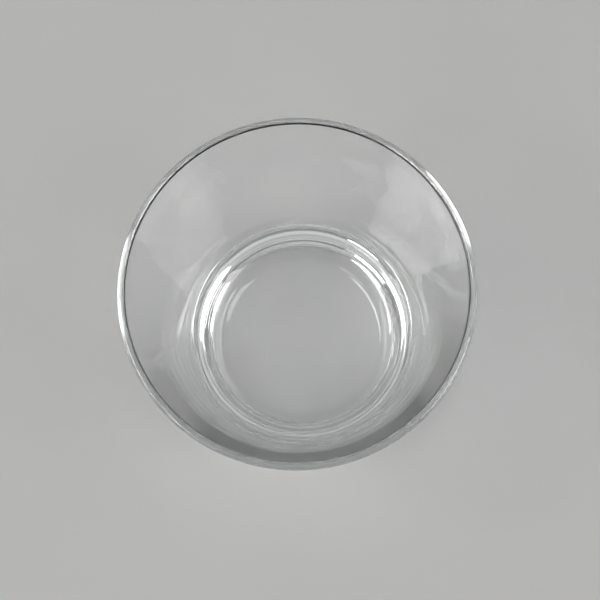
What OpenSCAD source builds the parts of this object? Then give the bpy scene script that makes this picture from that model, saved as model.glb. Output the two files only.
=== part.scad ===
// Rocks glass: a low tapered tumbler of clear glass with a thick base.
// The section is straight faces and tangent arcs, radius along X and height along Y, turned about the axis.
// The one piece of glass is divided on two level planes into its base, its wall and its rim.

/* [Mouth] */
// Outer diameter at the mouth
rim_d = 86; // [76:0.5:96]
// Thickness of the lip, which is rounded over in a half circle
rim_wall = 1.9; // [1.4:0.1:3]
// Height of the rim zone below the top edge
rim_h = 4; // [2.5:0.5:10]

/* [Body] */
// Overall height
height = 81.5; // [68:0.5:98]
// Outer diameter on the table, measured to the corner before the heel is rounded
base_d = 62; // [54:0.5:72]
// Thickness of the wall at the level of the floor
heel_wall = 2.75; // [2:0.05:5]

/* [Base] */
// Thickness of the base from the table to the floor
sham = 18; // [12:0.5:24]
// Radius of the fillet between the floor and the wall
fillet_r = 9; // [3:0.25:12]
// Radius of the rounded heel
heel_r = 10.5; // [4:0.5:14]
// Width of the flat bearing ring that the glass stands on
bearing_w = 6.5; // [3:0.5:9]
// Height of the hollow punt at the middle of the underside
punt_h = 1; // [0.75:0.25:4]
// Radius that softens the edge between the punt and the bearing ring
punt_edge_r = 8; // [1:0.5:12]

/* [Hidden] */
$fn = 128;
clear_glass = [0.86, 0.90, 0.89, 0.45];

// Depth by which an arc cuts past the face that it blends into, so that the two cross and don't just touch
bite = 0.0002;

// The same depth for the punt, whose large dome meets the soft edge at a flatter angle
punt_bite = 0.002;

// Angle by which an arc's slice runs on inside the glass past the end of the arc
overlap = 30;

// Lip: a circle that both faces of the wall run into
lip_r = rim_wall / 2;
lip_c = [rim_d / 2 - lip_r, height - lip_r];

// Outer face: leaves the table corner and touches the lip's circle on its outer side
base_corner = [base_d / 2, 0];
outer_lean = lean(base_corner, 1);

// Inner face: leaves the floor corner and touches the lip's circle on its inner side
floor_corner = [on_face(base_corner, outer_lean, sham).x - heel_wall, sham];
inner_lean = lean(floor_corner, -1);

// Heel: an arc between the table and the outer face
heel_run = heel_r * tan(45 - outer_lean / 2);
foot_r = base_corner.x - heel_run + bite / cos(outer_lean);
heel_c = [foot_r, heel_r];
heel_top = base_corner + heel_run * along(outer_lean);

// Fillet: an arc between the floor and the inner face
fillet_run = fillet_r * tan(45 - inner_lean / 2);
floor_r = floor_corner.x - fillet_run;
fillet_c = [floor_r, sham + fillet_r];
fillet_top_z = sham + fillet_run * cos(inner_lean);

// Punt: a shallow dome that runs tangent into the soft edge of the bearing ring
bearing_in_r = foot_r - bearing_w;
punt_r = (bearing_in_r ^ 2 + punt_h ^ 2) / (2 * punt_h) - punt_edge_r;
punt_c = [0, punt_h - punt_r];
punt_edge_c = [bearing_in_r, punt_edge_r];
punt_rise = atan2(punt_edge_c.y - punt_c.y, punt_edge_c.x);
punt_end = punt_c + punt_r * [cos(punt_rise), sin(punt_rise)];

// Levels where the zones meet
wall_z = fillet_top_z;
rim_z = height - rim_h;

// Direction of a wall face that leans outward by an angle from upright
function along(angle) = [sin(angle), cos(angle)];

// Outward normal of such a face
function across(angle) = [cos(angle), -sin(angle)];

// Lean of the face from a corner that touches the lip's circle on its outer (1) or inner (-1) side
function lean(corner, side) =
    let (reach = lip_c - corner)
    atan2(reach.x, reach.y) + side * asin((lip_r - bite) / norm(reach));

// Point of a face at a given level
function on_face(corner, angle, level) = [corner.x + (level - corner.y) * tan(angle), level];

// Points of the outer and the inner face at a given level
function outer_at(level) = on_face(base_corner, outer_lean, level);
function inner_at(level) = on_face(floor_corner, inner_lean, level);

// Slice of a disc between two angles, the second one larger
module sector(centre, radius, from, to) {
    reach = 2 * radius;
    steps = 4;
    intersection() {
        translate(centre)
            circle(radius);
        polygon([
            centre,
            for (i = [0 : steps])
                let (angle = from + (to - from) * i / steps)
                centre + reach * [cos(angle), sin(angle)]
        ]);
    }
}

// Thick bottom with its heel, floor fillet, bearing ring and punt
module base_section() {
    difference() {
        union() {
            polygon([
                [0, 0],
                punt_end,
                punt_edge_c,
                [bearing_in_r, 0],
                [foot_r, 0],
                heel_c,
                heel_top,
                outer_at(wall_z),
                [floor_r, wall_z],
                [floor_r, sham],
                [0, sham]
            ]);
            sector(heel_c, heel_r, -90, overlap - outer_lean);
            sector(punt_edge_c, punt_edge_r, punt_rise - 180 - overlap, -90);
        }
        sector(fillet_c, fillet_r, -90, 0);
        translate(punt_c)
            circle(punt_r + punt_bite);
    }
}

// Tapered wall from the top of the fillet to the rim zone
module wall_section() {
    polygon([
        inner_at(wall_z),
        outer_at(wall_z),
        outer_at(rim_z),
        inner_at(rim_z)
    ]);
}

// Top of the wall with its rounded lip
module rim_section() {
    union() {
        polygon([
            inner_at(rim_z),
            outer_at(rim_z),
            lip_c + (lip_r - bite) * across(outer_lean),
            lip_c - (lip_r - bite) * across(inner_lean)
        ]);
        sector(lip_c, lip_r, -outer_lean - overlap, 180 - inner_lean + overlap);
    }
}

module base() {
    color(clear_glass)
        rotate_extrude()
            base_section();
}

module wall() {
    color(clear_glass)
        rotate_extrude()
            wall_section();
}

module rim() {
    color(clear_glass)
        rotate_extrude()
            rim_section();
}

base();
wall();
rim();
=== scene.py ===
"""Rocks glass: a low clear tumbler, turned as one body and set on a pale floor under soft studio light."""

import logging
import math
from dataclasses import dataclass, field
from enum import Enum
from typing import Any, Mapping, Union

import bmesh
import bpy
from mathutils import Matrix, Vector

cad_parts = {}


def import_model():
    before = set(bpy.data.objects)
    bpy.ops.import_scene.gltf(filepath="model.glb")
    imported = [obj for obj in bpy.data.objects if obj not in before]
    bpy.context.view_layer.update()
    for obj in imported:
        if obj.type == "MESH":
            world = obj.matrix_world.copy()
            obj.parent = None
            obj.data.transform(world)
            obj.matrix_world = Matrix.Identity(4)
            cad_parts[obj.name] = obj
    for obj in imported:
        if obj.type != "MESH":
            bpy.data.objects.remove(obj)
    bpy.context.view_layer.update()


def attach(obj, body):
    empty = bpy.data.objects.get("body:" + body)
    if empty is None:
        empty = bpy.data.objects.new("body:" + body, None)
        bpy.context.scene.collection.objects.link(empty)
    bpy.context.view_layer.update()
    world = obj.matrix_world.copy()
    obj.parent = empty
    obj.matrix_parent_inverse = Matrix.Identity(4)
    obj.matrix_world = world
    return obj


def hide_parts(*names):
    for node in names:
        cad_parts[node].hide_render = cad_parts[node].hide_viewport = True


LOG = logging.getLogger("rocks_glass")
MM = 0.001
IMAGE_SIDE = 600
FULL_TURN = 2 * math.pi
WHITE = (1.0, 1.0, 1.0)

# Number of faces of the glass that light is followed through, and of mirrorings on them
PASSES = 32
MIRRORINGS = 16

Colour = tuple[float, float, float]
Place = tuple[float, float, float]
Term = Union["Signal", float]


class Signal:
    """A value in a shader: one output socket, on which arithmetic adds Math nodes."""

    def __init__(self, graph: "NodeGraph", socket: bpy.types.NodeSocket) -> None:
        """Keeps the socket and the graph that new nodes go into."""
        self.graph = graph
        self.socket = socket

    def _math(self, operation: str, first: Term, second: Term) -> "Signal":
        """Adds one Math node on two values or links."""
        return self.graph.node("ShaderNodeMath", {"operation": operation}, {0: first, 1: second})["Value"]

    def __add__(self, other: Term) -> "Signal":
        """The sum of two values."""
        return self._math("ADD", self, other)

    def __radd__(self, other: Term) -> "Signal":
        """The sum, with a number first."""
        return self._math("ADD", other, self)

    def __sub__(self, other: Term) -> "Signal":
        """The difference of two values."""
        return self._math("SUBTRACT", self, other)

    def __rsub__(self, other: Term) -> "Signal":
        """The difference, with a number first."""
        return self._math("SUBTRACT", other, self)

    def __mul__(self, other: Term) -> "Signal":
        """The product of two values."""
        return self._math("MULTIPLY", self, other)

    def __rmul__(self, other: Term) -> "Signal":
        """The product, with a number first."""
        return self._math("MULTIPLY", other, self)

    def __lt__(self, other: Term) -> "Signal":
        """1 where this value is the smaller one, and 0 elsewhere."""
        return self._math("LESS_THAN", self, other)

    def __gt__(self, other: Term) -> "Signal":
        """1 where this value is the larger one, and 0 elsewhere."""
        return self._math("GREATER_THAN", self, other)


class NodeGraph:
    """The nodes of one material or world."""

    def __init__(self, owner: bpy.types.Material | bpy.types.World) -> None:
        """Starts the owner's node tree afresh.

        Args:
            owner: The material or world.
        """
        owner.use_nodes = True
        self.tree = owner.node_tree
        self.tree.nodes.clear()

    def node(
        self,
        kind: str,
        settings: Mapping[str, Any] | None = None,
        sockets: Mapping[str | int, Any] | None = None,
    ) -> dict[str, Signal]:
        """Adds a node of any type.

        Args:
            kind: The node's type.
            settings: Its own settings, which are set first.
            sockets: Values or links of its input sockets, by name or number.

        Returns:
            The node's outputs that are in use, by name.
        """
        made = self.tree.nodes.new(kind)
        for name, value in (settings or {}).items():
            setattr(made, name, value)
        for key, value in (sockets or {}).items():
            self._fill(self._input(made, key), value)
        return {out.name: Signal(self, out) for out in made.outputs if out.enabled}

    def _input(self, made: bpy.types.Node, key: str | int) -> bpy.types.NodeSocket:
        """Finds an input socket.

        Args:
            made: The node.
            key: The socket's number, or its name among the sockets in use.

        Returns:
            The socket.
        """
        if isinstance(key, int):
            return made.inputs[key]
        return next(socket for socket in made.inputs if socket.enabled and socket.name == key)

    def _fill(self, socket: bpy.types.NodeSocket, value: Any) -> None:
        """Links a signal to an input socket, or sets a plain value on it.

        Args:
            socket: The input socket.
            value: A signal, a number, or the numbers of a colour or vector.
        """
        if isinstance(value, Signal):
            self.tree.links.new(value.socket, socket)
        elif socket.type == "RGBA":
            socket.default_value = (*value, 1.0)
        else:
            socket.default_value = value

    def ramp(self, value: Term, low: float, high: float) -> Signal:
        """Eases a value from 0, at low and below, to 1, at high and above."""
        values = {"Value": value, "From Min": low, "From Max": high}
        return self.node("ShaderNodeMapRange", {"interpolation_type": "SMOOTHSTEP"}, values)["Result"]

    def noise(self, place: Signal, size: float, detail: float) -> Signal:
        """Soft noise from 0 to 1, with features of a size in metres and a number of finer layers."""
        values = {"Vector": place, "Scale": 1 / size, "Detail": detail}
        return self.node("ShaderNodeTexNoise", {}, values)["Fac"]

    def mix(self, share: Term, first: Any, second: Any) -> Signal:
        """Mixes two colours by the share of the second one."""
        values = {"Factor": share, "A": first, "B": second}
        return self.node("ShaderNodeMix", {"data_type": "RGBA"}, values)["Result"]


@dataclass(frozen=True)
class ClearGlass:
    """Clear soda-lime glass: smooth from the mould, wiped but not spotless, and scuffed where it stands."""

    refraction: float = 1.52
    tint: Colour = (0.90, 0.95, 0.94)
    tint_depth: float = 4.0
    body_colour: Colour = WHITE
    film_colour: Colour = (0.965, 0.975, 0.975)
    film_size: float = 22 * MM
    film_detail: float = 4.0
    film_edges: tuple[float, float] = (0.45, 0.75)
    film_roughness: float = 0.012
    wave_size: float = 16 * MM
    wave_height: float = 0.004 * MM
    peel_size: float = 2.4 * MM
    peel_height: float = 0.0002 * MM
    ripple_detail: float = 1.0
    scuff_level: float = 0.25 * MM
    scuff_size: float = 0.9 * MM
    scuff_detail: float = 5.0
    scuff_edges: tuple[float, float] = (0.35, 0.7)
    scuff_roughness: float = 0.10
    speck_spacing: float = 4.0 * MM
    speck_radius: float = 0.11 * MM
    speck_share: float = 0.03
    speck_roughness: float = 0.6

    def material(self) -> bpy.types.Material:
        """Builds the glass.

        Returns:
            The finished material.
        """
        made = bpy.data.materials.new("clear_glass")
        graph = NodeGraph(made)
        place = graph.node("ShaderNodeTexCoord")["Object"]
        film = graph.ramp(graph.noise(place, self.film_size, self.film_detail), *self.film_edges)
        roughness = film * self.film_roughness + self._scuffs(graph, place) + self._specks(graph, place)
        surface = graph.node(
            "ShaderNodeBsdfPrincipled",
            {"distribution": "MULTI_GGX"},
            {
                "Base Color": graph.mix(film, self.body_colour, self.film_colour),
                "Roughness": roughness,
                "IOR": self.refraction,
                "Transmission Weight": 1.0,
                "Normal": self._waves(graph, place),
            },
        )["BSDF"]
        inside = graph.node(
            "ShaderNodeVolumeAbsorption", {}, {"Color": self.tint, "Density": self.tint_depth}
        )["Volume"]
        graph.node("ShaderNodeOutputMaterial", {}, {"Surface": surface, "Volume": inside})
        return made

    def _scuffs(self, graph: NodeGraph, place: Signal) -> Signal:
        """Roughness of the fine scuffs on the bearing ring.

        Args:
            graph: The material's nodes.
            place: Object coordinates.

        Returns:
            The roughness that the scuffs add.
        """
        level = graph.node("ShaderNodeSeparateXYZ", {}, {"Vector": place})["Z"]
        worn = 1 - graph.ramp(level, 0.0, self.scuff_level)
        marks = graph.ramp(graph.noise(place, self.scuff_size, self.scuff_detail), *self.scuff_edges)
        return worn * marks * self.scuff_roughness

    def _specks(self, graph: NodeGraph, place: Signal) -> Signal:
        """Roughness of a few specks of dust.

        Args:
            graph: The material's nodes.
            place: Object coordinates.

        Returns:
            The roughness that the specks add.
        """
        cells = graph.node("ShaderNodeTexVoronoi", {}, {"Vector": place, "Scale": 1 / self.speck_spacing})
        chance = graph.node("ShaderNodeSeparateColor", {}, {"Color": cells["Color"]})["Red"]
        spot = cells["Distance"] < self.speck_radius / self.speck_spacing
        return spot * (chance < self.speck_share) * self.speck_roughness

    def _waves(self, graph: NodeGraph, place: Signal) -> Signal:
        """Normal of the faint waviness that the mould leaves, with its heights in metres.

        Args:
            graph: The material's nodes.
            place: Object coordinates.

        Returns:
            The bumped normal.
        """
        broad = self.wave_height * graph.noise(place, self.wave_size, self.ripple_detail)
        fine = self.peel_height * graph.noise(place, self.peel_size, self.ripple_detail)
        values = {"Strength": 1.0, "Distance": 1.0, "Height": broad + fine}
        return graph.node("ShaderNodeBump", {}, values)["Normal"]


@dataclass(frozen=True)
class FloorPaint:
    """Matt pale paint, a little uneven."""

    light: Colour = (0.445, 0.445, 0.44)
    dark: Colour = (0.42, 0.42, 0.415)
    cloud_size: float = 60 * MM
    cloud_detail: float = 3.0
    roughness: float = 0.75
    gloss: float = 0.2

    def material(self) -> bpy.types.Material:
        """Builds the paint.

        Returns:
            The finished material.
        """
        made = bpy.data.materials.new("floor_paint")
        graph = NodeGraph(made)
        place = graph.node("ShaderNodeTexCoord")["Object"]
        cloud = graph.noise(place, self.cloud_size, self.cloud_detail)
        surface = graph.node(
            "ShaderNodeBsdfPrincipled",
            {},
            {
                "Base Color": graph.mix(cloud, self.dark, self.light),
                "Roughness": self.roughness,
                "Specular IOR Level": self.gloss,
            },
        )["BSDF"]
        graph.node("ShaderNodeOutputMaterial", {}, {"Surface": surface})
        return made


class Turn(Enum):
    """Which way a pen goes round an arc, seen with the axis on the left and up at the top."""

    LEFT = 1
    RIGHT = -1


class SectionPen:
    """Draws the section of a turned piece as one line in the XZ plane, a bmesh operator for each stroke."""

    def __init__(self, mesh: bmesh.types.BMesh, start: Vector) -> None:
        """Puts the pen down at a point given as radius and height."""
        self.mesh = mesh
        self.tip = mesh.verts.new((start.x, 0, start.y))

    def line(self, end: Vector, steps: int) -> None:
        """Draws a straight stroke.

        Args:
            end: Radius and height of its end.
            steps: Number of equal steps in it.
        """
        first = self.tip.co.copy()
        last = Vector((end.x, 0, end.y))
        for step in range(1, steps + 1):
            self.tip = bmesh.ops.extrude_vert_indiv(self.mesh, verts=[self.tip])["verts"][0]
            self.tip.co = first.lerp(last, step / steps)

    def arc(self, centre: Vector, angle: float, turn: Turn, steps: int) -> None:
        """Draws an arc from where the pen is.

        Args:
            centre: Radius and height of its centre.
            angle: How far it goes round, in radians.
            turn: Which way it goes round.
            steps: Number of straight steps in it.
        """
        drawn = bmesh.ops.spin(
            self.mesh,
            geom=[self.tip],
            cent=(centre.x, 0, centre.y),
            axis=(0, -1, 0),
            angle=angle * turn.value,
            steps=steps,
        )
        self.tip = next(item for item in drawn["geom_last"] if isinstance(item, bmesh.types.BMVert))


@dataclass
class Tumbler:
    """The glass: one turned body with a rounded lip, a heavy base, a bearing ring and a punt."""

    rim_d: float = 86 * MM
    rim_wall: float = 1.9 * MM
    height: float = 81.5 * MM
    base_d: float = 62 * MM
    heel_wall: float = 2.75 * MM
    sham: float = 18 * MM
    fillet_r: float = 9 * MM
    heel_r: float = 10.5 * MM
    bearing_w: float = 6.5 * MM
    punt_h: float = 1 * MM
    punt_edge_r: float = 8 * MM
    arc_steps: int = 20
    wall_steps: int = 48
    flat_steps: int = 12
    turn_steps: int = 224
    weld_gap: float = 0.0001 * MM
    finish: ClearGlass = field(default_factory=ClearGlass)

    def build(self) -> bpy.types.Object:
        """Turns the glass and dresses it.

        Returns:
            The glass, riding on the frame in place of its three zones.
        """
        mesh = bmesh.new()
        self._draw_section(mesh)
        self._turn_section(mesh)
        data = bpy.data.meshes.new("tumbler")
        mesh.to_mesh(data)
        mesh.free()
        glass = bpy.data.objects.new("tumbler", data)
        bpy.context.scene.collection.objects.link(glass)
        data.materials.append(self.finish.material())
        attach(glass, "root")
        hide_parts("base", "wall", "rim")
        return glass

    def _draw_section(self, mesh: bmesh.types.BMesh) -> None:
        """Draws the section from the punt's top, under the base, over the lip and in to the floor's centre.

        Args:
            mesh: The empty mesh to draw in.
        """
        lip_r = self.rim_wall / 2
        lip = Vector((self.rim_d / 2 - lip_r, self.height - lip_r))
        corner = Vector((self.base_d / 2, 0))
        outer_lean = self._lean(lip - corner, lip_r)
        floor_corner = Vector((corner.x + self.sham * math.tan(outer_lean) - self.heel_wall, self.sham))
        inner_lean = self._lean(lip - floor_corner, -lip_r)
        heel = Vector((corner.x - self.heel_r * math.tan(math.pi / 4 - outer_lean / 2), self.heel_r))
        fillet_run = self.fillet_r * math.tan(math.pi / 4 - inner_lean / 2)
        fillet = Vector((floor_corner.x - fillet_run, self.sham + self.fillet_r))
        fillet_top = floor_corner + fillet_run * self._along(inner_lean)
        edge = Vector((heel.x - self.bearing_w, self.punt_edge_r))
        punt_r = (edge.x ** 2 + self.punt_h ** 2) / (2 * self.punt_h) - self.punt_edge_r
        punt = Vector((0, self.punt_h - punt_r))
        punt_half = math.atan2(edge.x, edge.y - punt.y)

        pen = SectionPen(mesh, Vector((0, self.punt_h)))
        pen.arc(punt, punt_half, Turn.RIGHT, self.flat_steps)
        pen.arc(edge, punt_half, Turn.LEFT, self.flat_steps)
        pen.line(Vector((heel.x, 0)), self.flat_steps)
        pen.arc(heel, math.pi / 2 - outer_lean, Turn.LEFT, self.arc_steps)
        pen.line(lip + lip_r * self._across(outer_lean), self.wall_steps)
        pen.arc(lip, math.pi + outer_lean - inner_lean, Turn.LEFT, self.arc_steps)
        pen.line(fillet_top, self.wall_steps)
        pen.arc(fillet, math.pi / 2 - inner_lean, Turn.RIGHT, self.arc_steps)
        pen.line(Vector((0, self.sham)), self.flat_steps)

    @staticmethod
    def _along(lean: float) -> Vector:
        """Direction up a wall face that leans outward from upright."""
        return Vector((math.sin(lean), math.cos(lean)))

    @staticmethod
    def _across(lean: float) -> Vector:
        """Outward normal of such a face."""
        return Vector((math.cos(lean), -math.sin(lean)))

    @staticmethod
    def _lean(reach: Vector, lip_r: float) -> float:
        """Lean of the face that runs to the lip's outer side, or its inner side for a radius below 0."""
        return math.atan2(reach.x, reach.y) + math.asin(lip_r / reach.length)

    def _turn_section(self, mesh: bmesh.types.BMesh) -> None:
        """Turns the section once round the axis into one closed body.

        Args:
            mesh: The mesh that holds the section.
        """
        section = mesh.verts[:] + mesh.edges[:]
        bmesh.ops.spin(
            mesh,
            geom=section,
            cent=(0, 0, 0),
            axis=(0, 0, 1),
            angle=FULL_TURN,
            steps=self.turn_steps,
            use_merge=True,
        )
        bmesh.ops.remove_doubles(mesh, verts=mesh.verts, dist=self.weld_gap)
        bmesh.ops.recalc_face_normals(mesh, faces=mesh.faces)
        for face in mesh.faces:
            face.smooth = True


@dataclass
class Softbox:
    """One soft lamp, aimed at the glass, with its direction from there in degrees."""

    name: str
    azimuth: float
    elevation: float
    size: tuple[float, float]
    brightness: float
    distance: float = 3.0
    aim: Place = (0.0, 0.0, 50 * MM)

    def build(self) -> None:
        """Hangs the lamp."""
        data = bpy.data.lights.new(self.name, "AREA")
        data.shape = "RECTANGLE"
        data.size, data.size_y = self.size
        data.energy = self.brightness * math.pi * self.size[0] * self.size[1]
        lamp = bpy.data.objects.new(self.name, data)
        azimuth = math.radians(self.azimuth)
        elevation = math.radians(self.elevation)
        level = math.cos(elevation)
        way = Vector((level * math.cos(azimuth), level * math.sin(azimuth), math.sin(elevation)))
        lamp.location = Vector(self.aim) + self.distance * way
        lamp.rotation_euler = way.to_track_quat("Z", "Y").to_euler()
        bpy.context.scene.collection.objects.link(lamp)


@dataclass
class Studio:
    """The pale floor, the soft lamps and the plain surroundings."""

    floor_radius: float = 6.0
    floor_sides: int = 96
    floor_gap: float = 0.05 * MM
    paint: FloorPaint = field(default_factory=FloorPaint)
    horizon: float = 0.24
    zenith: float = 0.65
    glow_start: float = 0.6
    lamps: tuple[Softbox, ...] = (
        Softbox("left_softbox", azimuth=184, elevation=55, size=(1.8, 0.58), brightness=12.1),
        Softbox("low_softbox", azimuth=217, elevation=33, size=(1.1, 0.6), brightness=5.0),
        Softbox("right_softbox", azimuth=-25, elevation=47, size=(1.3, 1.5), brightness=5.6),
    )

    def build(self) -> None:
        """Lays the floor, hangs the lamps and sets the surroundings."""
        self._lay_floor()
        for lamp in self.lamps:
            lamp.build()
        self._surround()

    def _lay_floor(self) -> None:
        """Lays the floor just under the glass."""
        mesh = bmesh.new()
        bmesh.ops.create_circle(mesh, cap_ends=True, segments=self.floor_sides, radius=self.floor_radius)
        bmesh.ops.translate(mesh, verts=mesh.verts, vec=(0, 0, -self.floor_gap))
        data = bpy.data.meshes.new("floor")
        mesh.to_mesh(data)
        mesh.free()
        data.materials.append(self.paint.material())
        floor = bpy.data.objects.new("floor", data)
        bpy.context.scene.collection.objects.link(floor)

    def _surround(self) -> None:
        """Sets the tone of the surroundings, with a soft glow overhead."""
        world = bpy.data.worlds.new("studio")
        bpy.context.scene.world = world
        graph = NodeGraph(world)
        way = graph.node("ShaderNodeTexCoord")["Generated"]
        height = graph.node("ShaderNodeSeparateXYZ", {}, {"Vector": way})["Z"]
        level = self.horizon + (self.zenith - self.horizon) * graph.ramp(height, self.glow_start, 1.0)
        light = graph.node("ShaderNodeBackground", {}, {"Color": WHITE, "Strength": level})
        graph.node("ShaderNodeOutputWorld", {}, {"Surface": light["Background"]})


@dataclass
class Viewpoint:
    """The camera: almost straight above the mouth, tilted and rolled a little."""

    mouth_width: float
    mouth_level: float
    mouth_pixels: float = 363.1
    aim_shift: tuple[float, float] = (0.43 * MM, -3.3 * MM)
    tilt: float = math.radians(11.8)
    roll: float = math.radians(-7.0)
    distance: float = 228.6 * MM
    nearest: float = 1 * MM

    def build(self) -> None:
        """Sets up the camera."""
        data = bpy.data.cameras.new("camera")
        data.sensor_fit = "HORIZONTAL"
        frame_width = self.mouth_width * IMAGE_SIDE / self.mouth_pixels
        data.lens = data.sensor_width * self.distance / frame_width
        data.clip_start = self.nearest
        camera = bpy.data.objects.new("camera", data)
        turn = Matrix.Rotation(self.tilt, 4, "X") @ Matrix.Rotation(self.roll, 4, "Z")
        back = turn @ Vector((0, 0, self.distance))
        aim = Vector((*self.aim_shift, self.mouth_level))
        camera.matrix_world = Matrix.Translation(aim + back) @ turn
        bpy.context.scene.collection.objects.link(camera)
        bpy.context.scene.camera = camera


def set_light_paths() -> None:
    """Lets light pass through enough faces of the glass unblurred, and shows colours as they are."""
    scene = bpy.context.scene
    scene.view_settings.view_transform = "Standard"
    scene.cycles.max_bounces = PASSES
    scene.cycles.transmission_bounces = PASSES
    scene.cycles.glossy_bounces = MIRRORINGS
    scene.cycles.blur_glossy = 0.0


def main() -> None:
    """Builds the glass and its studio, and notes the number of faces of the finished glass."""
    logging.basicConfig(level=logging.INFO, format="%(name)s: %(message)s")
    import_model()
    set_light_paths()
    tumbler = Tumbler()
    Viewpoint(tumbler.rim_d, tumbler.height).build()
    glass = tumbler.build()
    LOG.info("%s: %d faces", glass.name, len(glass.data.polygons))
    Studio().build()


if __name__ == "__main__":
    main()
